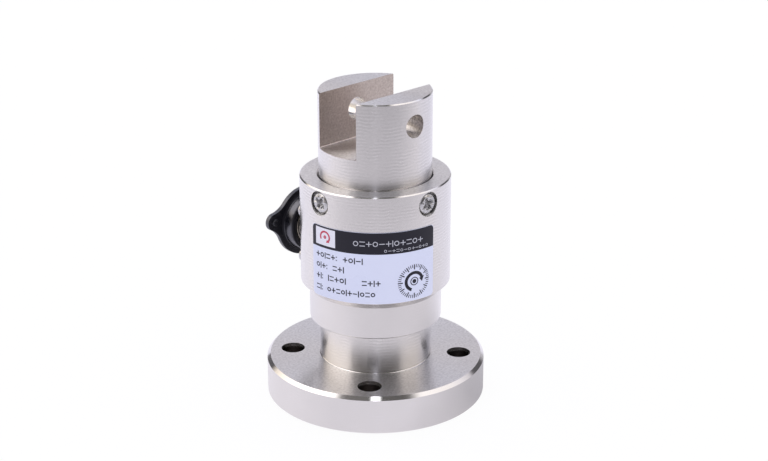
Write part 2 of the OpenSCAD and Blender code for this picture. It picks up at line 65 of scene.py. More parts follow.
def connect(socket, value):
    """Wires a node's first output, or the given output, into a socket, or sets the socket's value."""
    if isinstance(value, bpy.types.Node):
        value = value.outputs[0]
    if isinstance(value, bpy.types.NodeSocket):
        socket.id_data.links.new(value, socket)
    elif value is not None:
        socket.default_value = value


def node_maker(tree):
    """Call that adds a shader node by kind, sets its options, and wires or sets its inputs in order."""
    def add(kind, *values, **options):
        node = tree.nodes.new("ShaderNode" + kind)
        for option, value in options.items():
            setattr(node, option, value)
        for socket, value in zip(node.inputs, values):
            connect(socket, value)
        return node
    return add


def blend_colour(add, factor, a, b):
    """Colour between a and b."""
    node = add("Mix", data_type="RGBA")
    for place, value in ((0, factor), (6, a), (7, b)):
        connect(node.inputs[place], value)
    return node.outputs[2]


# The two colours of the light in the tent.
blue_white = (0.955, 0.920, 0.985)
cream_white = (1.100, 0.990, 0.870)


def glow_curve(add, value, stops):
    """Colour ramp through (place, level, cream) stops, halved because a ramp ends at 1."""
    ramp = add("ValToRGB", value)
    bands = ramp.color_ramp.elements
    while len(bands) < len(stops):
        bands.new(0.5)
    for band, (place, level, cream) in zip(bands, stops):
        band.position = place
        band.color = (*(level / 2 * (c + cream * (w - c)) for c, w in zip(blue_white, cream_white)), 1)
    return ramp


# The tent as the plated steel shows it: degrees round from the camera, positive to its right,
# the brightness, and how far its blue white turns to the cream of the two side screens.
tent_round = [
    (-180, 0.70, 0), (-172, 0.77, 0), (-158, 0.72, 0), (-151, 0.16, 0), (-135, 0.12, 0), (-128, 1.35, 1),
    (-62, 1.62, 1), (-51, 0.16, 1), (-9, 0.13, 1), (-5, 0.16, 0), (-3, 0.60, 0), (3, 0.60, 0), (5, 0.16, 0),
    (9, 0.10, 1), (50, 0.10, 1), (64, 1.02, 1), (98, 0.90, 1), (110, 0.90, 0.5), (121, 0.85, 0), (126, 0.12, 0),
    (141, 0.12, 0), (148, 0.58, 0), (172, 0.59, 0), (180, 0.70, 0),
]
# The same below the camera's height, where the side screens end in a soft edge.
tent_foot = [
    (-180, 0.70, 0), (-172, 0.77, 0), (-158, 0.72, 0), (-151, 0.16, 0), (-135, 0.12, 0), (-128, 1.05, 1),
    (-95, 0.94, 1), (-72, 0.52, 1), (-55, 0.22, 1), (-40, 0.09, 1), (-9, 0.07, 1), (-5, 0.12, 0), (-3, 0.36, 0),
    (3, 0.36, 0), (5, 0.10, 0), (9, 0.05, 1), (50, 0.05, 1), (66, 0.24, 1), (88, 0.58, 1), (110, 0.62, 0.5),
    (121, 0.55, 0), (126, 0.12, 0), (141, 0.12, 0), (148, 0.58, 0), (172, 0.59, 0), (180, 0.70, 0),
]
lamp_height = math.radians(64)
lamp_rim, lamp_core = 0.9972, 0.9986  # cosines of the angles where its soft edge starts and ends
lamp_glow = 1.3
steel_gain = 2.0  # the glow curves hold half the brightness

tent = bpy.data.worlds.new("light_tent")
tent.use_nodes = True
tent.node_tree.nodes.clear()
add = node_maker(tent.node_tree)
way = add("TexCoord").outputs["Generated"]
ahead = add("VectorMath", way, to_camera, operation="DOT_PRODUCT").outputs["Value"]
aside = add("VectorMath", way, to_right, operation="DOT_PRODUCT").outputs["Value"]
turned = add("Math", aside, ahead, operation="ARCTAN2")
turned = add("Math", turned, 1 / (2 * math.pi), 0.5, operation="MULTIPLY_ADD")
height = add("SeparateXYZ", way).outputs["Z"]
around, at_foot = (
    glow_curve(add, turned, [(degrees / 360 + 0.5, glow, cream) for degrees, glow, cream in stops])
    for stops in (tent_round, tent_foot)
)
glow = blend_colour(add, add("MapRange", height, 0.34, 0.43, 0.0, 1.0), at_foot, around)
gain = blend_colour(add, add("MapRange", height, 0.45, 0.62, 0.0, 1.0), (1, 1, 1, 1), (1.20, 1.27, 1.42, 1))
glow = add("VectorMath", glow, gain, operation="MULTIPLY")
glow = blend_colour(add, add("MapRange", height, 0.93, 0.98, 0.0, 1.0), glow, (0.25, 0.25, 0.25, 1))
lamp_level = math.cos(lamp_height)
lamp_way = (lamp_level * to_camera[0], lamp_level * to_camera[1], math.sin(lamp_height))
lamp = add("VectorMath", way, lamp_way, operation="DOT_PRODUCT").outputs["Value"]
lamp = add("MapRange", lamp, lamp_rim, lamp_core, 0.0, lamp_glow)
lamp = add("VectorMath", glow, lamp, operation="ADD")
seen_in_steel = add("Background", lamp, steel_gain)
even = add("Background", (0.885, 0.875, 0.97, 1), 1.0)
plain = add("Background", (1, 1, 1, 1), 1.0)
ray = add("LightPath")
lit = add("MixShader", ray.outputs["Is Glossy Ray"], even, seen_in_steel)
add("OutputWorld", add("MixShader", ray.outputs["Is Camera Ray"], lit, plain))
bpy.context.scene.world = tent

# The table shows pure white with a trace of shadow. In the steel it darkens towards the camera,
# where the tent is open, and in the sensor's own shade on its right. Metres towards the camera,
# and brightness there.
table_fall = [
    (-0.20, 1.12, -0.25), (-0.05, 1.12, -0.15), (0.00, 1.06, 0), (0.07, 1.02, 0.02), (0.15, 0.84, 0.04),
    (0.20, 0.74, 0.05), (0.35, 0.46, 0.08),
]
table_half = 3.0
shade_reach = 0.038

paper = bpy.data.materials.new("table_paper")
paper.use_nodes = True
paper.node_tree.nodes.clear()
add = node_maker(paper.node_tree)
place = add("TexCoord").outputs["Object"]
ahead = add("VectorMath", place, to_camera, operation="DOT_PRODUCT").outputs["Value"]
first, last = table_fall[0][0], table_fall[-1][0]
share = add("MapRange", ahead, first, last, 0.0, 1.0)
fall = glow_curve(add, share, [((m - first) / (last - first), glow, cream) for m, glow, cream in table_fall])
shade_middle = tuple(shade_reach * part for part in to_right)
shaded = add("VectorMath", place, shade_middle, operation="DISTANCE").outputs["Value"]
shaded = add("MapRange", shaded, 0.012, 0.045, 0.52, 1.0)
aside = add("VectorMath", place, to_right, operation="DOT_PRODUCT").outputs["Value"]
aside = add("MapRange", aside, 0.05, 0.25, 1.0, 0.82)
shaded = add("Math", shaded, aside, operation="MULTIPLY")
ray = add("LightPath")
matt = add("BsdfDiffuse", (0.86, 0.86, 0.88, 1))
mirrored = add("Emission", add("VectorMath", fall, shaded, operation="MULTIPLY"), steel_gain)
white = add("Emission", (1, 1, 1, 1), 1.03)
mostly = add("Math", ray.outputs["Is Glossy Ray"], 0.8, operation="MULTIPLY")
table_look = add("MixShader", mostly, matt, mirrored)
mostly = add("Math", ray.outputs["Is Camera Ray"], 0.9, operation="MULTIPLY")
add("OutputMaterial", add("MixShader", mostly, table_look, white))

mesh = bpy.data.meshes.new("table")
corners = [(-table_half, -table_half, 0), (table_half, -table_half, 0),
           (table_half, table_half, 0), (-table_half, table_half, 0)]
mesh.from_pydata(corners, [], [(0, 1, 2, 3)])
mesh.materials.append(paper)
table = bpy.data.objects.new("table", mesh)
bpy.context.scene.collection.objects.link(table)


# ---------------------------------------------------------------- Elastic body
# The sensor's heart is one piece of alloy steel, turned from bar with its slot milled and its
# holes drilled, then satin nickel plated over everything, so that the tool marks show through.
slot_half = 0.00705
slot_floor = 0.0709
hole_top = 0.0095
inside_rim = 0.029


def new_finish(name):
    """Material with an empty tree, and the call that adds its nodes."""
    material = bpy.data.materials.new(name)
    material.use_nodes = True
    material.node_tree.nodes.clear()
    return material, node_maker(material.node_tree)


def shade(add, **inputs):
    """Principled shader whose inputs are given by name, with _ for a space."""
    shader = add("BsdfPrincipled")
    for name, value in inputs.items():
        connect(shader.inputs[name.replace("_", " ")], value)
    add("OutputMaterial", shader)


def relief(add, strength, depth, height):
    """Bump normal from a height pattern."""
    bump = add("Bump", strength, depth)
    connect(bump.inputs["Height"], height)
    return bump


def satin_nickel(name, feed, fine_from, milled, bore_z, bore_r, bore_ways, bore_tint, haze):
    """Turned and plated steel: wavering tool marks round Z, grain, and duller milled or drilled faces, darkened
    there with painted shade.
    """
    material, add = new_finish(name)
    where = add("TexCoord").outputs["Object"]
    facing = add("SeparateXYZ", add("TexCoord").outputs["Normal"])
    axis = add("SeparateXYZ", where)
    flat = add("VectorMath", where, (1, 1, 0), operation="MULTIPLY")
    radius = add("VectorMath", flat, operation="LENGTH").outputs["Value"]
    upright = add("Math", facing.outputs["Z"], operation="ABSOLUTE")
    level = add("Math", upright, 0.9, operation="GREATER_THAN")
    slanted = add("Math", add("Math", upright, 0.3, operation="GREATER_THAN"), level, operation="SUBTRACT")
    # marks run up the round faces and outwards on the level ones
    travel = add("Math", level, add("Math", radius, axis.outputs["Z"], operation="SUBTRACT"),
                 axis.outputs["Z"], operation="MULTIPLY_ADD")
    waver = add("TexNoise", add("VectorMath", where, (1, 1, 0.4), operation="MULTIPLY"), None, 330.0, 3.0, 0.65)
    phase = add("Math", travel, 2 * math.pi / feed, operation="MULTIPLY")
    phase = add("Math", waver.outputs[0], 9.0, phase, operation="MULTIPLY_ADD")
    rings = add("Math", phase, operation="SINE")
    patch = add("TexNoise", where, None, 170.0, 3.0, 0.6)
    patch = add("MapRange", patch.outputs[0], 0.42, 0.62, 0.0, 1.0)
    rings = add("Math", rings, patch, operation="MULTIPLY")
    # the wide faces were finished with a finer feed than shaft and neck
    fine = add("Math", radius, fine_from, operation="GREATER_THAN")
    fine = add("Math", fine, level, operation="MAXIMUM")
    fine = add("MapRange", fine, 0.0, 1.0, 1.0, 0.22)
    rings = add("Math", rings, fine, operation="MULTIPLY")
    grain = add("TexNoise", where, None, 1700.0, 2.0, 0.6)
    grain = add("MapRange", grain.outputs[0], 0.28, 0.72, -0.5, 0.5)
    cloud = add("TexNoise", where, None, 45.0, 3.0, 0.6)
    cloud = add("MapRange", cloud.outputs[0], 0.25, 0.75, 0.35, 0.65)
    # inside the clevis slot and in the bolt holes, whose walls get a darker colour that is partly the milled or
    # drilled finish and partly painted shade
    inside = add("Math", add("Math", axis.outputs["Y"], operation="ABSOLUTE"), slot_half, operation="LESS_THAN")
    high = add("Math", axis.outputs["Z"], slot_floor, operation="GREATER_THAN")
    inside = add("Math", inside, high, operation="MULTIPLY")
    steep = add("Math", upright, 0.5, operation="LESS_THAN")
    low = add("Math", axis.outputs["Z"], hole_top, operation="LESS_THAN")
    within = add("Math", radius, inside_rim, operation="LESS_THAN")
    drilled_and_shaded = add("Math", add("Math", steep, low, operation="MULTIPLY"), within, operation="MULTIPLY")
    if not milled:
        inside = drilled_and_shaded
    rings = add("Math", rings, add("Math", 1.0, inside, operation="SUBTRACT"), operation="MULTIPLY")
    coarse = add("Math", fine, 0.30, operation="MULTIPLY")
    grainy = add("Math", inside, 0.65, operation="MULTIPLY")
    grainy = add("MapRange", add("Math", level, grainy, operation="MAXIMUM"), 0.0, 1.0, coarse, 1.05)
    tone = add("Math", rings, 0.24, cloud, operation="MULTIPLY_ADD")
    tone = add("Math", grain, grainy, tone, operation="MULTIPLY_ADD")
    colour = blend_colour(add, tone, (0.66, 0.645, 0.64, 1), (0.90, 0.885, 0.88, 1))
    # slot walls: a warmer milled tone, darkened further as painted shade
    shaded_walls = add("Math", inside, add("MapRange", level, 0.0, 1.0, 1.0, 0.15), operation="MULTIPLY")
    milled_and_shaded = blend_colour(add, tone, (0.465, 0.40, 0.37, 1), (0.74, 0.67, 0.63, 1))
    colour = blend_colour(add, shaded_walls, colour, milled_and_shaded)
    # bolt hole walls near black: drilled steel plus painted shade
    colour = blend_colour(add, drilled_and_shaded, colour, (0.16, 0.14, 0.13, 1))
    # bores across the axis, for the clevis pin or the cover screws, keep the drill's duller finish
    gap = 1.0
    for way in bore_ways:
        across = add("VectorMath", where, (0, 0, bore_z), operation="SUBTRACT")
        across = add("VectorMath", across, way, operation="MULTIPLY")
        across = add("VectorMath", across, operation="LENGTH").outputs["Value"]
        gap = add("Math", gap, across, operation="MINIMUM")
    bored = add("Math", gap, bore_r, operation="LESS_THAN")
    if milled:
        deeper = add("MapRange", axis.outputs["Y"], -0.008, 0.008, 1.0, 0.2)
        bored = add("Math", bored, deeper, operation="MULTIPLY")
    pitted = tuple(0.62 * part for part in bore_tint)
    pitted = blend_colour(add, add("MapRange", grain, -0.25, 0.25, 0.0, 1.0), (*pitted, 1), (*bore_tint, 1))
    colour = blend_colour(add, bored, colour, pitted)
    roughness = add("MapRange", add("Math", rings, 0.3, grain, operation="MULTIPLY_ADD"), -0.8, 0.8, 0.22, 0.28)
    roughness = add("Math", inside, 0.14, roughness, operation="MULTIPLY_ADD")
    roughness = add("Math", bored, 0.2, roughness, operation="MULTIPLY_ADD")
    roughness = add("Math", slanted, -0.13, roughness, operation="MULTIPLY_ADD")
    roughness = add("Math", level, 0.07, roughness, operation="MULTIPLY_ADD")
    normal = relief(add, 0.03, 0.00002, rings)
    groove = add("VectorMath", (0, 0, 1), where, operation="CROSS_PRODUCT")
    groove = add("VectorMath", groove, operation="NORMALIZE")
    bright = add("MapRange", level, 0.0, 1.0, 1.0, 1.0 - haze)
    shade(add, Base_Color=colour, Metallic=bright, Roughness=roughness, Anisotropic=0.85,
          Anisotropic_Rotation=0.25, Normal=normal, Tangent=groove)
    return material


def dress(node, material):
    """Gives a CAD node its finish; the mesh stays as it is."""
    sensor[node].data.materials.clear()
    sensor[node].data.materials.append(material)


dress("elastic_body", satin_nickel(
    "body_steel", feed=0.00091, fine_from=0.0165, milled=True, bore_z=0.0791, bore_r=0.0032,
    bore_ways=[(1, 0, 1)], bore_tint=(0.90, 0.86, 0.84), haze=0.0,
))


# ---------------------------------------------------------------- Strain gauges, coat and fine leads
# Four foil gauges are glued to the square bar, one to a face. A coat of clear white silicone
# keeps damp off them, and fine enamelled wires slant from it down to the terminal board.
def gauge_foil():
    """Constantan grid on an amber polyimide backing."""
    material, add = new_finish("gauge_foil")
    where = add("TexCoord").outputs["Object"]
    axis = add("SeparateXYZ", where)
    side = add("Math", axis.outputs["X"], axis.outputs["Y"], operation="ADD")
    slant = add("Math", side, axis.outputs["Z"], operation="ADD")
    lines = add("Math", add("Math", slant, 2 * math.pi / 0.0004, operation="MULTIPLY"), operation="SINE")
    grid = add("MapRange", lines, -0.2, 0.2, 0.0, 1.0)
    colour = blend_colour(add, grid, (0.46, 0.20, 0.05, 1), (0.72, 0.55, 0.40, 1))
    shade(add, Base_Color=colour, Metallic=grid, Roughness=add("MapRange", grid, 0, 1, 0.45, 0.3))
    return material


def cured_silicone():
    """Brushed on silicone: milky, a little uneven."""
    material, add = new_finish("cured_silicone")
    where = add("TexCoord").outputs["Object"]
    lumps = add("TexNoise", where, None, 500.0, 3.0, 0.5)
    colour = blend_colour(add, lumps, (0.70, 0.70, 0.67, 1), (0.84, 0.84, 0.81, 1))
    normal = relief(add, 0.4, 0.0002, lumps)
    shade(add, Base_Color=colour, Roughness=add("MapRange", lumps, 0.3, 0.7, 0.3, 0.5),
          Subsurface_Weight=0.15, Subsurface_Scale=0.001, Normal=normal)
    return material


def enamelled_wire():
    """Copper wire under a thin red brown enamel."""
    material, add = new_finish("enamelled_wire")
    streaks = add("TexNoise", add("TexCoord").outputs["Object"], None, 1500.0, 2.0, 0.5)
    colour = blend_colour(add, streaks, (0.36, 0.11, 0.04, 1), (0.56, 0.20, 0.08, 1))
    shade(add, Base_Color=colour, Metallic=0.7, Roughness=add("MapRange", streaks, 0.3, 0.7, 0.25, 0.4),
          Coat_Weight=0.6)
    return material


foil, coat_rubber, enamel = gauge_foil(), cured_silicone(), enamelled_wire()
for i in range(1, 5):
    dress(f"strain_gauge_{i}", foil)
    dress(f"gauge_leads_{i}", enamel)
dress("gauge_coat", coat_rubber)


# ---------------------------------------------------------------- Terminal board and trim resistors
# A glass fibre ring lies on the collar's top. It joins gauges and lead wires, and carries three
# chip resistors that trim zero and span.
def board_laminate():
    """Green solder mask with ring shaped copper tracks showing through."""
    material, add = new_finish("board_laminate")
    where = add("TexCoord").outputs["Object"]
    flat = add("VectorMath", where, (1, 1, 0), operation="MULTIPLY")
    radius = add("VectorMath", flat, operation="LENGTH").outputs["Value"]
    tracks = add("Math", add("Math", radius, 2 * math.pi / 0.0022, operation="MULTIPLY"), operation="SINE")
    tracks = add("MapRange", tracks, 0.1, 0.3, 0.0, 1.0)
    fibre = add("TexNoise", where, None, 900.0, 3.0, 0.6)
    mask = blend_colour(add, tracks, (0.010, 0.075, 0.030, 1), (0.030, 0.150, 0.060, 1))
    colour = blend_colour(add, add("Math", fibre, 0.4, operation="MULTIPLY"), mask, (0.10, 0.22, 0.10, 1))
    normal = relief(add, 0.3, 0.00004, tracks)
    shade(add, Base_Color=colour, Roughness=add("MapRange", fibre, 0.3, 0.7, 0.28, 0.42), Normal=normal)
    return material


def chip_resistor(name, turn):
    """Black glazed ceramic chip with tinned ends, its length across the board's radius."""
    material, add = new_finish(name)
    where = add("TexCoord").outputs["Object"]
    along = (-math.sin(turn), math.cos(turn), 0)
    place = add("VectorMath", where, along, operation="DOT_PRODUCT").outputs["Value"]
    ends = add("Math", add("Math", place, operation="ABSOLUTE"), 0.00125, operation="GREATER_THAN")
    specks = add("TexNoise", where, None, 4000.0, 2.0, 0.5)
    glaze = blend_colour(add, specks, (0.010, 0.010, 0.012, 1), (0.035, 0.035, 0.04, 1))
    colour = blend_colour(add, ends, glaze, (0.66, 0.66, 0.64, 1))
    shade(add, Base_Color=colour, Metallic=ends, Roughness=add("MapRange", specks, 0.3, 0.7, 0.25, 0.4))
    return material


dress("terminal_board", board_laminate())
for i in range(1, 4):
    dress(f"trim_resistor_{i}", chip_resistor(f"chip_resistor_{i}", math.radians(-90 + 40 * (i - 2))))


# ---------------------------------------------------------------- Seal rings
# Two black nitrile rings lie in the body's grooves and keep dust and oil out of the cover.
def moulded_rubber(name, low, high, rough):
    """Rubber from a polished mould: near black, with a fine grain and faint bloom."""
    material, add = new_finish(name)
    where = add("TexCoord").outputs["Object"]
    bloom = add("TexNoise", where, None, 260.0, 4.0, 0.6)
    pores = add("TexNoise", where, None, 5200.0, 2.0, 0.5)
    colour = blend_colour(add, bloom, (*low, 1), (*high, 1))
    normal = relief(add, 0.12, 0.00003, pores)
    shade(add, Base_Color=colour, Roughness=add("MapRange", bloom, 0.3, 0.7, rough - 0.05, rough + 0.07),
          Specular_Tint=(0.84, 0.86, 1.0, 1), Normal=normal)
    return material


nitrile = moulded_rubber("nitrile", (0.012, 0.012, 0.012), (0.022, 0.022, 0.023), 0.45)
for name in ("upper_seal_ring", "lower_seal_ring"):
    dress(name, nitrile)


# ---------------------------------------------------------------- Cover sleeve
# A thick tube, turned and nickel plated as the body is. It is screwed to the upper shaft and
# turns free of the collar, so it guards the bar without carrying any torque.
cover_radius = 0.0203
cover_screw_z = 0.0590

dress("cover_sleeve", satin_nickel(
    "cover_steel", feed=0.00086, fine_from=0.03, milled=False, bore_z=cover_screw_z, bore_r=0.0034,
    bore_ways=[(1, 0, 1), (0, 1, 1)], bore_tint=(0.97, 0.96, 0.95), haze=0.3,
))


# ---------------------------------------------------------------- Cover screws
# Four zinc plated M3 pan heads hold the cover to the shaft, sunk in counterbores. Their cross
# recesses are worn from the driver. All screws are one mesh, laid out by a node tree.
cover_head_d = 0.0056
cover_head_h = 0.0024
head_sunk = 0.0002
cover_seat = cover_radius - head_sunk - cover_head_h


def worn_zinc():
    """Bright zinc plate, scuffed on the head and grey in the recess."""
    material, add = new_finish("worn_zinc")
    where = add("TexCoord").outputs["Object"]
    scuffs = add("TexNoise", where, None, 1700.0, 4.0, 0.65)
    deep = add("Attribute", attribute_name="recess").outputs["Fac"]
    plate = blend_colour(add, scuffs, (0.40, 0.40, 0.42, 1), (0.86, 0.86, 0.88, 1))
    grey = blend_colour(add, scuffs, (0.22, 0.22, 0.225, 1), (0.60, 0.60, 0.61, 1))
    colour = blend_colour(add, deep, plate, grey)
    rough = add("MapRange", scuffs, 0.3, 0.7, 0.16, 0.36)
    normal = relief(add, 0.6, 0.00006, scuffs)
    shade(add, Base_Color=colour, Metallic=1.0, Roughness=rough, Normal=normal)
    return material


def pan_screw_mesh(name, thread_d, length, head_d, head_h, pitch, around, wear):
    """Pan head screw along Z, its seat at 0: domed head with a worn cross recess, and a rolled thread."""
    head_r = head_d / 2
    flat_r = 0.30 * head_d
    side_h = 0.68 * head_h
    arm_half = 0.085 * head_d
    arm_end = 0.30 * head_d
    soft = 0.03 * head_d

    def soft_step(value, edge):
        t = min(max((edge + soft - value) / (2 * soft), 0.0), 1.0)
        return t * t * (3 - 2 * t)

    def recess(x, y):
        worn_x = x + wear * noise.noise(Vector((x, y, 0)) * 2500)
        worn_y = y + wear * noise.noise(Vector((x, y, 3)) * 2500)
        x, y = worn_x, worn_y
        arms = [soft_step(abs(v), arm_half) * soft_step(abs(u), arm_end) for u, v in ((x, y), (y, x))]
        return max(arms)

    def top(r, angle):
        x, y = r * math.cos(angle), r * math.sin(angle)
        dome = 1.0 if r < flat_r else math.sqrt(max(1 - ((r - flat_r) / (head_r - flat_r)) ** 2, 0))
        depth = recess(x, y)
        burr = wear * noise.noise(Vector((x, y, 7)) * 1500) if r < 0.85 * head_r else 0
        sink = depth * head_h * (0.50 - 0.25 * r / head_r)
        return side_h + dome * (head_h - side_h) - sink + burr * (1 - depth), depth

    bm = bmesh.new()
    deep = bm.verts.layers.float.new("recess")

    def ring(place):
        verts = []
        for k in range(around):
            angle = 2 * math.pi * k / around
            r, z, d = place(angle)
            vert = bm.verts.new((r * math.cos(angle), r * math.sin(angle), z))
            vert[deep] = d
            verts.append(vert)
        return verts

    steps = 17
    pole = bm.verts.new((0, 0, top(0, 0)[0]))
    pole[deep] = 1.0
    rings = []
    for n in range(1, steps + 1):
        r = head_r * math.sin(math.pi / 2 * n / steps)
        rings.append(ring(lambda angle, r=r: (r, *top(r, angle))))
    rings.append(ring(lambda angle: (head_r, 0.1 * head_h, 0.0)))
    rings.append(ring(lambda angle: (head_r - 0.1 * head_h, 0.0, 0.0)))
    core, crest = 0.40 * thread_d, thread_d / 2
    rings.append(ring(lambda angle: (core, 0.0, 0.0)))
    rows = int(4 * (length - 0.0006) / pitch)
    for n in range(rows + 1):
        z = -0.0003 - n * pitch / 4
        fade = min(1.0, (rows - n) / 5)

        def thread(angle, z=z, fade=fade):
            turn = (z / pitch - angle / (2 * math.pi)) % 1.0
            return core * (0.82 + 0.18 * fade) + (crest - core) * fade * (1 - abs(2 * turn - 1)), z, 0.0
        rings.append(ring(thread))
    end = bm.verts.new((0, 0, -length))
    for k in range(around):
        n = (k + 1) % around
        bm.faces.new((pole, rings[0][k], rings[0][n]))
        bm.faces.new((end, rings[-1][n], rings[-1][k]))
    for upper, lower in zip(rings, rings[1:]):
        for k in range(around):
            n = (k + 1) % around
            bm.faces.new((upper[k], lower[k], lower[n], upper[n]))
    for face in bm.faces:
        face.smooth = True
    for edge in bm.edges:
        edge.smooth = edge.calc_face_angle(0) < math.radians(38)
    mesh = bpy.data.meshes.new(name)
    bm.to_mesh(mesh)
    bm.free()
    return mesh


def shape_tree(name, result, **inputs):
    """Geometry node tree with its inputs by name and kind, with _ for a space, and one result."""
    tree = bpy.data.node_groups.new(name, "GeometryNodeTree")
    for title, kind in inputs.items():
        tree.interface.new_socket(title.replace("_", " "), in_out="INPUT", socket_type="NodeSocket" + kind)
    tree.interface.new_socket(result, in_out="OUTPUT", socket_type="NodeSocketGeometry")
    return tree, tree.nodes.new, tree.links.new


def fastener_layout():
    """Tree that sets a fastener on each vertex, its head along the vertex's outward attribute."""
    tree, new, link = shape_tree(
        "fastener_layout", "Fasteners", Seats="Geometry", Fastener="Object", Finish="Material",
        First_turn="Float", Next_turn="Float",
    )
    given, made = new("NodeGroupInput"), new("NodeGroupOutput")
    count = new("GeometryNodeInputIndex")
    spin = new("ShaderNodeMath")
    spin.operation = "MULTIPLY_ADD"
    link(count.outputs[0], spin.inputs[0])
    link(given.outputs["Next turn"], spin.inputs[1])
    link(given.outputs["First turn"], spin.inputs[2])
    about = new("ShaderNodeCombineXYZ")
    link(spin.outputs[0], about.inputs["Z"])
    turned = new("FunctionNodeEulerToRotation")
    link(about.outputs[0], turned.inputs[0])
    outward = new("GeometryNodeInputNamedAttribute")
    outward.data_type = "FLOAT_VECTOR"
    outward.inputs["Name"].default_value = "outward"
    aimed = new("FunctionNodeAlignRotationToVector")
    aimed.axis = "Z"
    link(turned.outputs[0], aimed.inputs["Rotation"])
    link(outward.outputs["Attribute"], aimed.inputs["Vector"])
    body = new("GeometryNodeObjectInfo")
    link(given.outputs["Fastener"], body.inputs["Object"])
    copies = new("GeometryNodeInstanceOnPoints")
    link(given.outputs["Seats"], copies.inputs["Points"])
    link(body.outputs["Geometry"], copies.inputs["Instance"])
    link(aimed.outputs[0], copies.inputs["Rotation"])
    real = new("GeometryNodeRealizeInstances")
    link(copies.outputs[0], real.inputs[0])
    finish = new("GeometryNodeSetMaterial")
    link(real.outputs[0], finish.inputs["Geometry"])
    link(given.outputs["Finish"], finish.inputs["Material"])
    link(finish.outputs[0], made.inputs[0])
    return tree


def plain_object(name, mesh):
    """Links a mesh into the scene as an object at the origin."""
    thing = bpy.data.objects.new(name, mesh)
    bpy.context.scene.collection.objects.link(thing)
    return thing


def grown(name, source, tree, inputs):
    """Runs a node tree on an object and keeps the result as a plain mesh object."""
    work = source.modifiers.new("work", "NODES")
    work.node_group = tree
    for item in tree.interface.items_tree:
        if item.in_out == "INPUT" and item.name in inputs:
            work[item.identifier] = inputs[item.name]
    evaluated = source.evaluated_get(bpy.context.evaluated_depsgraph_get())
    mesh = bpy.data.meshes.new_from_object(evaluated)
    mesh.name = name
    bpy.data.objects.remove(source)
    return plain_object(name, mesh)


def set_fasteners(name, screw_mesh, seats, finish, first, step):
    """One piece with a screw on every seat, a list of (place, outward), turned by step from one to the next."""
    mesh = bpy.data.meshes.new(name + "_seats")
    mesh.from_pydata([place for place, outward in seats], [], [])
    outwards = mesh.attributes.new("outward", "FLOAT_VECTOR", "POINT")
    for n, (place, outward) in enumerate(seats):
        outwards.data[n].vector = outward
    pattern = plain_object(name + "_pattern", screw_mesh)
    piece = grown(name, plain_object(name + "_at", mesh), screw_layout, {
        "Fastener": pattern, "Finish": finish, "First turn": first, "Next turn": step,
    })
    bpy.data.objects.remove(pattern)
    return piece


screw_layout = fastener_layout()
zinc = worn_zinc()
seats = []
for i in range(4):
    outward = Vector((math.sin(math.pi / 2 * i), -math.cos(math.pi / 2 * i), 0))
    seats.append((outward * cover_seat + Vector((0, 0, cover_screw_z)), outward))
m3_screw = pan_screw_mesh(
    "m3_screw", thread_d=0.003, length=0.008, head_d=cover_head_d, head_h=cover_head_h, pitch=0.0005,
    around=72, wear=0.00030,
)
cover_screws = set_fasteners("cover_screws", m3_screw, seats, zinc, first=0.45, step=0.7)
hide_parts(*[f"cover_screw_{i}" for i in range(1, 5)])
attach(cover_screws, "sensor")


# ---------------------------------------------------------------- Contacts, sleeves and lead wires
# Gold plated contact pins stand in the socket's insert. Each solder cup behind it holds one
# coloured wire down to the terminal board, and a red shrink sleeve insulates the joint.
def gold_plate():
    """Thin hard gold over brass, slightly cloudy."""
    material, add = new_finish("gold_plate")
    cloud = add("TexNoise", add("TexCoord").outputs["Object"], None, 1400.0, 3.0, 0.5)
    colour = blend_colour(add, cloud, (0.86, 0.58, 0.20, 1), (0.98, 0.74, 0.34, 1))
    shade(add, Base_Color=colour, Metallic=1.0, Roughness=add("MapRange", cloud, 0.3, 0.7, 0.14, 0.28))
    return material


def shrunk_sleeve():
    """Red polyolefin tube, shrunk on, with faint ripples along it."""
    material, add = new_finish("shrunk_sleeve")
    where = add("TexCoord").outputs["Object"]
    where = add("VectorMath", where, (700, 250, 700), operation="MULTIPLY")
    ripple = add("TexNoise", where, None, 1.0, 3.0, 0.5)
    colour = blend_colour(add, ripple, (0.30, 0.012, 0.012, 1), (0.46, 0.03, 0.025, 1))
    normal = relief(add, 0.3, 0.00008, ripple)
    shade(add, Base_Color=colour, Roughness=add("MapRange", ripple, 0.3, 0.7, 0.35, 0.5), Normal=normal)
    return material


def wire_jacket(name, colour):
    """Extruded vinyl insulation with fine length marks."""
    material, add = new_finish(name)
    where = add("TexCoord").outputs["Object"]
    where = add("VectorMath", where, (3000, 3000, 300), operation="MULTIPLY")
    streak = add("TexNoise", where, None, 1.0, 2.0, 0.5)
    darker = tuple(0.8 * part for part in colour)
    tone = blend_colour(add, streak, (*darker, 1), (*colour, 1))
    shade(add, Base_Color=tone, Roughness=add("MapRange", streak, 0.3, 0.7, 0.32, 0.46))
    return material


gold, sleeve_red = gold_plate(), shrunk_sleeve()
wire_colours = {
    "red": (0.42, 0.015, 0.02), "green": (0.02, 0.20, 0.06), "white": (0.74, 0.74, 0.72),
    "black": (0.015, 0.015, 0.017),
}
for i, (shade_name, colour) in enumerate(wire_colours.items(), 1):
    dress(f"contact_pin_{i}", gold)
    dress(f"cup_sleeve_{i}", sleeve_red)
    dress(f"lead_wire_{i}", wire_jacket(f"{shade_name}_jacket", colour))


# ---------------------------------------------------------------- Signal socket
# The socket shell is turned and milled from brass and nickel plated. A black moulded insert
# sits in its barrel, and a rubber gasket seals its square flange on the cover's flat.
socket_z = 0.0413
barrel_face_y = 0.020688
socket_pitch = 0.0132
thread_pitch = 0.001
thread_root = 0.00539
thread_start = 0.0009
tool_turn = math.pi


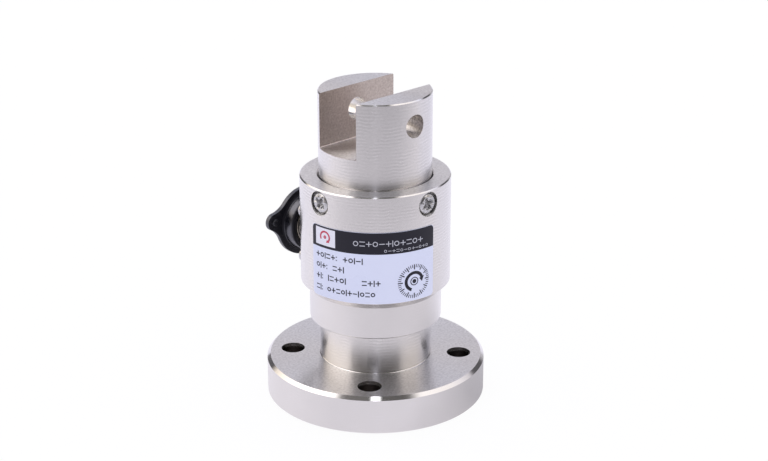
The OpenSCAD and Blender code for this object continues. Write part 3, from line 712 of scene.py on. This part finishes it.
def moulded_plastic():
    """Black glass filled nylon, matt from the mould."""
    material, add = new_finish("moulded_plastic")
    where = add("TexCoord").outputs["Object"]
    fibre = add("TexNoise", where, None, 2400.0, 3.0, 0.6)
    colour = blend_colour(add, fibre, (0.012, 0.012, 0.013, 1), (0.035, 0.035, 0.037, 1))
    normal = relief(add, 0.2, 0.00003, fibre)
    shade(add, Base_Color=colour, Roughness=add("MapRange", fibre, 0.3, 0.7, 0.42, 0.6), Normal=normal)
    return material


def bright_nickel():
    """Bright nickel on machined brass, with fine circular tool marks round the socket's axis."""
    material, add = new_finish("bright_nickel")
    where = add("TexCoord").outputs["Object"]
    centred = add("VectorMath", where, (0, 0, socket_z), operation="SUBTRACT")
    flat = add("VectorMath", centred, (1, 0, 1), operation="MULTIPLY")
    radius = add("VectorMath", flat, operation="LENGTH").outputs["Value"]
    marks = add("Math", add("Math", radius, 2 * math.pi / 0.0002, operation="MULTIPLY"), operation="SINE")
    cloud = add("TexNoise", where, None, 600.0, 3.0, 0.5)
    colour = blend_colour(add, cloud, (0.80, 0.775, 0.74, 1), (0.92, 0.90, 0.87, 1))
    normal = relief(add, 0.1, 0.00001, marks)
    rough = add("MapRange", cloud, 0.3, 0.7, 0.16, 0.3)
    shade(add, Base_Color=colour, Metallic=1.0, Roughness=rough, Normal=normal)
    return material


def merged_copy(node, name):
    """Plain copy of a CAD node's mesh with its loose triangles joined."""
    bm = bmesh.new()
    bm.from_mesh(sensor[node].data)
    bmesh.ops.remove_doubles(bm, verts=bm.verts, dist=1e-7)
    bmesh.ops.dissolve_limit(bm, angle_limit=math.radians(0.5), verts=bm.verts, edges=bm.edges)
    mesh = bpy.data.meshes.new(name)
    bm.to_mesh(mesh)
    bm.free()
    mesh.materials.clear()
    return plain_object(name, mesh)


def thread_cutting():
    """Tree that cuts a 60 degree thread along +Y into a body, from a start point and a root radius."""
    tree, new, link = shape_tree(
        "thread_cutting", "Threaded", Body="Geometry", Pitch="Float", Turns="Float", Root_radius="Float",
        Start="Vector", Finish="Material",
    )

    def maths(operation, a, b):
        node = new("ShaderNodeMath")
        node.operation = operation
        connect(node.inputs[0], a)
        connect(node.inputs[1], b)
        return node.outputs[0]

    given, made = new("NodeGroupInput"), new("NodeGroupOutput")
    size = maths("MULTIPLY", given.outputs["Pitch"], 0.55)
    reach = maths("ADD", given.outputs["Root radius"], size)
    coil = new("GeometryNodeCurveSpiral")
    coil.inputs["Resolution"].default_value = 48
    link(given.outputs["Turns"], coil.inputs["Rotations"])
    link(reach, coil.inputs["Start Radius"])
    link(reach, coil.inputs["End Radius"])
    link(maths("MULTIPLY", given.outputs["Pitch"], given.outputs["Turns"]), coil.inputs["Height"])
    level = new("GeometryNodeSetCurveNormal")
    level.mode = "Z_UP"
    link(coil.outputs[0], level.inputs["Curve"])
    tool = new("GeometryNodeCurvePrimitiveCircle")
    tool.inputs["Resolution"].default_value = 3
    link(size, tool.inputs["Radius"])
    aimed = new("GeometryNodeTransform")
    aimed.inputs["Rotation"].default_value = (0, 0, tool_turn)
    link(tool.outputs[0], aimed.inputs["Geometry"])
    swept = new("GeometryNodeCurveToMesh")
    swept.inputs["Fill Caps"].default_value = True
    link(level.outputs[0], swept.inputs["Curve"])
    link(aimed.outputs[0], swept.inputs["Profile Curve"])
    laid = new("GeometryNodeTransform")
    laid.inputs["Rotation"].default_value = (-math.pi / 2, 0, 0)
    link(given.outputs["Start"], laid.inputs["Translation"])
    link(swept.outputs[0], laid.inputs["Geometry"])
    cut = new("GeometryNodeMeshBoolean")
    cut.operation = "DIFFERENCE"
    cut.solver = "EXACT"
    link(given.outputs["Body"], cut.inputs["Mesh 1"])
    link(laid.outputs[0], cut.inputs["Mesh 2"])
    real = new("GeometryNodeRealizeInstances")
    link(cut.outputs[0], real.inputs[0])
    finish = new("GeometryNodeSetMaterial")
    link(real.outputs[0], finish.inputs["Geometry"])
    link(given.outputs["Finish"], finish.inputs["Material"])
    link(finish.outputs[0], made.inputs[0])
    return tree


dress("socket_insert", moulded_plastic())
socket = grown("threaded_socket", merged_copy("socket_shell", "socket_blank"), thread_cutting(), {
    "Pitch": thread_pitch, "Turns": 7.3, "Root radius": thread_root,
    "Start": (0, barrel_face_y + thread_start, socket_z), "Finish": bright_nickel(),
})
socket.data.shade_smooth()
socket.data.set_sharp_from_angle(angle=math.radians(28))
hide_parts("socket_shell")
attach(socket, "sensor")
dress("socket_gasket", moulded_rubber("gasket_rubber", (0.014, 0.014, 0.014), (0.026, 0.026, 0.026), 0.5))

# Four M2 pan heads hold the socket's flange to the cover.
seats = []
reach = socket_pitch / math.sqrt(2)
for i in range(4):
    angle = math.radians(45 + 90 * i)
    seats.append((Vector((reach * math.cos(angle), barrel_face_y, socket_z + reach * math.sin(angle))),
                  Vector((0, 1, 0))))
m2_screw = pan_screw_mesh(
    "m2_screw", thread_d=0.002, length=0.005, head_d=0.0040, head_h=0.0016, pitch=0.0004, around=48,
    wear=0.00004,
)
socket_screws = set_fasteners("socket_screws", m2_screw, seats, zinc, first=0.3, step=0.6)
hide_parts(*[f"socket_screw_{i}" for i in range(1, 5)])
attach(socket_screws, "sensor")


# ---------------------------------------------------------------- Dust cap
# A soft moulded cap with a pull tab grips the socket's barrel when no plug is fitted. Its rim
# is rounded by the mould. The skirt is polished and the disc is dull; the rim's grey is a painted sheen.
def cap_moulding():
    """Black vinyl, glossy round the skirt, dull on the disc and in the fillet, with a painted grey sheen along
    the rim.
    """
    material, add = new_finish("cap_rubber")
    where = add("TexCoord").outputs["Object"]
    facing = add("SeparateXYZ", add("TexCoord").outputs["Normal"]).outputs["Y"]
    dull = add("MapRange", add("Math", facing, operation="ABSOLUTE"), 0.2, 0.6, 0.0, 1.0)
    centred = add("VectorMath", where, (0, 0, socket_z), operation="SUBTRACT")
    across = add("VectorMath", centred, (1, 0, 1), operation="MULTIPLY")
    radius = add("VectorMath", across, operation="LENGTH").outputs["Value"]
    # the rim's lighter grey colour is a painted sheen; the rim is also made rougher
    rim_sheen = add("MapRange", radius, 0.0092, 0.0095, 0.0, 1.0)
    rim_sheen = add("Math", rim_sheen, add("Math", 1.0, dull, operation="SUBTRACT"), operation="MULTIPLY")
    bloom = add("TexNoise", where, None, 260.0, 4.0, 0.6)
    pores = add("TexNoise", where, None, 5200.0, 2.0, 0.5)
    colour = blend_colour(add, bloom, (0.005, 0.005, 0.008, 1), (0.010, 0.010, 0.014, 1))
    colour = blend_colour(add, rim_sheen, colour, (0.030, 0.031, 0.032, 1))
    gloss = add("Math", 1.0, add("Math", 0.85, dull, operation="MULTIPLY"), operation="SUBTRACT")
    rough = add("MapRange", bloom, 0.3, 0.7, 0.18, 0.28)
    rough = add("Math", add("Math", dull, rim_sheen, operation="ADD"), 0.2, rough, operation="MULTIPLY_ADD")
    normal = relief(add, 0.12, 0.00003, pores)
    shade(add, Base_Color=colour, Roughness=rough, IOR=1.7, Specular_IOR_Level=gloss,
          Specular_Tint=(0.88, 0.89, 1.0, 1), Normal=normal)
    return material


def rounded(piece, width, angle):
    """Rounds a piece's edges and keeps the result as its own mesh."""
    bevel = piece.modifiers.new("mould_radius", "BEVEL")
    bevel.width = width
    bevel.segments = 3
    bevel.limit_method = "ANGLE"
    bevel.angle_limit = math.radians(angle)
    bevel.harden_normals = True
    welded = piece.modifiers.new("welded", "WELD")
    welded.merge_threshold = 3e-6
    piece.data.shade_smooth()
    evaluated = piece.evaluated_get(bpy.context.evaluated_depsgraph_get())
    mesh = bpy.data.meshes.new_from_object(evaluated)
    piece.modifiers.clear()
    piece.data = mesh
    return piece


cap = rounded(merged_copy("dust_cap", "moulded_cap"), width=0.00022, angle=35)
cap.data.materials.append(cap_moulding())
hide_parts("dust_cap")
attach(cap, "cap")


# ---------------------------------------------------------------- Rating label
# A pale polyester film is wrapped round the cover's front, with rounded corners. What is
# printed on it is plain: a dark field, a red turning mark, rows of marks and a torque dial.
label_turn = math.radians(-46.2)
film_radius = cover_radius + 0.00015
ink = 0.00002


def polyester_film():
    """Pale satin film, a little uneven where it is pressed on."""
    material, add = new_finish("polyester_film")
    where = add("TexCoord").outputs["Object"]
    cloud = add("TexNoise", where, None, 120.0, 3.0, 0.5)
    colour = blend_colour(add, cloud, (0.76, 0.81, 0.975, 1), (0.80, 0.84, 0.985, 1))
    shade(add, Base_Color=colour, Roughness=add("MapRange", cloud, 0.3, 0.7, 0.26, 0.36), Coat_Weight=0.6,
          Coat_Roughness=0.12)
    return material


def printing_ink(name, low, high, rough):
    """Screen printed ink with a slight mottle."""
    material, add = new_finish(name)
    mottle = add("TexNoise", add("TexCoord").outputs["Object"], None, 900.0, 3.0, 0.6)
    colour = blend_colour(add, mottle, (*low, 1), (*high, 1))
    shade(add, Base_Color=colour, Roughness=add("MapRange", mottle, 0.3, 0.7, rough - 0.05, rough + 0.07),
          Specular_IOR_Level=0.35)
    return material


def on_film(across, height, lift):
    """Point on the label: millimetres round from its middle and up from the table, metres of lift."""
    turn = label_turn + across / 1000 / cover_radius
    reach = film_radius + lift
    return Vector((reach * math.sin(turn), -reach * math.cos(turn), height / 1000))


def print_strips(name, strips, finish, lift):
    """Ink in the shape of strips, each a list of (lower, upper) points, laid on the film."""
    bm = bmesh.new()
    for strip in strips:
        closed = math.dist(strip[0][0], strip[-1][0]) < 1e-6
        pairs = strip[:-1] if closed else strip
        fronts = [[bm.verts.new(on_film(*point, lift)) for point in pair] for pair in pairs]
        backs = [[bm.verts.new(on_film(*point, 0.0)) for point in pair] for pair in pairs]
        if closed:
            fronts.append(fronts[0])
            backs.append(backs[0])
        for (a, b), (c, d), (e, f), (g, h) in zip(fronts, fronts[1:], backs, backs[1:]):
            bm.faces.new((a, c, d, b))
            bm.faces.new((e, f, h, g))
            bm.faces.new((a, e, g, c))
            bm.faces.new((b, d, h, f))
        if not closed:
            (a, b), (c, d) = fronts[0], backs[0]
            bm.faces.new((a, b, d, c))
            (a, b), (c, d) = fronts[-1], backs[-1]
            bm.faces.new((a, c, d, b))
    bmesh.ops.recalc_face_normals(bm, faces=bm.faces)
    mesh = bpy.data.meshes.new(name)
    bm.to_mesh(mesh)
    bm.free()
    mesh.materials.append(finish)
    piece = plain_object(name, mesh)
    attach(piece, "sensor")


def field(left, right, low, high, radius=0.0):
    """Rectangle with its two upper corners rounded, as a strip."""
    columns = [left + radius * (1 - math.cos(math.pi / 16 * n)) for n in range(9)] if radius else [left]
    count = max(2, int((right - left) / 0.6))
    columns += [left + radius + (right - left - 2 * radius) * n / count for n in range(1, count)]
    columns += [right - (c - left) for c in reversed(columns) if c <= left + radius]
    strip = []
    for x in columns:
        inward = max(0.0, radius - (x - left), radius - (right - x))
        strip.append(((x, low), (x, high - radius + math.sqrt(max(radius ** 2 - inward ** 2, 0)))))
    return strip


def arc_strip(x, z, inner, outer, start, stop, count):
    """Part of a ring round a point, from start to stop in degrees, as a strip."""
    strip = []
    for n in range(count + 1):
        a = math.radians(start + (stop - start) * n / count)
        strip.append(((x + inner * math.cos(a), z + inner * math.sin(a)),
                      (x + outer * math.cos(a), z + outer * math.sin(a))))
    return strip


def arrow_head(x, z, radius, at, size, way):
    """Triangle that points round a ring at an angle, way 1 with rising angles and -1 against them."""
    a, tip = math.radians(at), math.radians(at) + way * size / radius
    return [((x + (radius - 0.6 * size) * math.cos(a), z + (radius - 0.6 * size) * math.sin(a)),
             (x + (radius + 0.6 * size) * math.cos(a), z + (radius + 0.6 * size) * math.sin(a))),
            ((x + (radius - 0.02) * math.cos(tip), z + (radius - 0.02) * math.sin(tip)),
             (x + (radius + 0.02) * math.cos(tip), z + (radius + 0.02) * math.sin(tip)))]


def mark_row(left, low, tall, pattern, width, gap, weight=0.16):
    """Row of plain marks: i upright, o ring, - dash, = two dashes, : two dots, + cross, and a space."""
    strips, x = [], left
    line, hair = weight * tall, 0.02
    middle = low + tall / 2
    lower, upper = middle - line / 2, middle + line / 2
    for mark in pattern:
        if mark == "i":
            strips.append(field(x, x + line, low, low + tall))
            x += line + gap
            continue
        if mark == "o":
            r = min(width, 0.8 * tall) / 2
            strips.append(arc_strip(x + r, middle, r - line, r, 0, 360, 16))
        elif mark == "-":
            strips.append(field(x, x + width, lower, upper))
        elif mark == "+":
            near, far = x + (width - line) / 2, x + (width + line) / 2
            strips.append(field(x, x + width, lower, upper))
            strips.append(field(near, far, low + 0.1 * tall, lower - hair))
            strips.append(field(near, far, upper + hair, low + 0.9 * tall))
        elif mark == "=":
            strips.append(field(x, x + width, low + 0.12 * tall, low + 0.12 * tall + line))
            strips.append(field(x, x + width, low + 0.88 * tall - line, low + 0.88 * tall))
        elif mark == ":":
            strips.append(field(x, x + line, low + 0.1 * tall, low + 0.1 * tall + line))
            strips.append(field(x, x + line, low + 0.6 * tall, low + 0.6 * tall + line))
            x += line + gap
            continue
        x += width + gap
    return strips


dress("rating_label", polyester_film())
dark_ink = printing_ink("dark_ink", (0.008, 0.008, 0.016), (0.015, 0.015, 0.026), 0.36)
pale_ink = printing_ink("pale_ink", (0.50, 0.51, 0.55), (0.66, 0.67, 0.71), 0.4)
white_ink = printing_ink("white_ink", (0.86, 0.86, 0.92), (0.91, 0.91, 0.96), 0.4)
red_ink = printing_ink("red_ink", (0.52, 0.05, 0.09), (0.66, 0.09, 0.14), 0.4)

print_strips("label_dark_field", [field(-17.95, 17.95, 47.15, 53.1, 1.2)], dark_ink, ink)
print_strips("label_white_box", [field(-16.6, -10.0, 47.85, 52.65)], white_ink, 1.5 * ink)
mark_x, mark_z = -13.3, 50.25
turning = [arc_strip(mark_x, mark_z, 1.25, 1.75, -40, 210, 20), arrow_head(mark_x, mark_z, 1.5, -40, 0.9, -1),
           arc_strip(mark_x, mark_z, 0.12, 0.5, 0, 360, 12)]
print_strips("label_turning_mark", turning, red_ink, 2 * ink)

pale_rows = mark_row(-4.9, 49.2, 1.75, "o=+o-+io+=o+", 1.45, 0.26, 0.12)
pale_rows += mark_row(3.2, 47.6, 0.95, "o-+=o-o+-o+o", 0.88, 0.2, 0.13)
print_strips("label_pale_marks", pale_rows, pale_ink, 2 * ink)

line_tall = 1.75
dark_rows = []
for left, low, pattern, width, gap in (
    (-16.5, 44.2, "+oi=+: +oi-i", 1.30, 0.24), (-16.5, 41.2, "oi+: =+i", 1.30, 0.24),
    (-16.5, 38.1, "+i: i=+oi", 1.30, 0.24), (-2.6, 38.1, "=+i+", 1.30, 0.24),
    (-16.5, 34.9, "=i: o+=oi+-io=o", 1.20, 0.22),
):
    dark_rows += mark_row(left, low, line_tall, pattern, width, gap)
dial_x, dial_z = 11.6, 38.6
ticks, dial_r = 48, 4.75
for n in range(ticks):
    a = 2 * math.pi * n / ticks
    inner, half = (3.35, 0.15) if n % 4 == 0 else (3.85, 0.10)
    outward, side = Vector((math.cos(a), math.sin(a))), Vector((-math.sin(a), math.cos(a))) * half
    ends = [Vector((dial_x, dial_z)) + outward * reach for reach in (inner, dial_r)]
    dark_rows.append([(tuple(end - side), tuple(end + side)) for end in ends])
dark_rows += [arc_strip(dial_x, dial_z, 2.0, 2.85, 20, 250, 26), arrow_head(dial_x, dial_z, 2.43, 20, 1.35, -1),
              arc_strip(dial_x, dial_z, 0.05, 0.6, 0, 360, 14), arc_strip(dial_x, dial_z, 0.95, 1.2, 0, 360, 20)]
print_strips("label_dark_marks", dark_rows, dark_ink, ink)
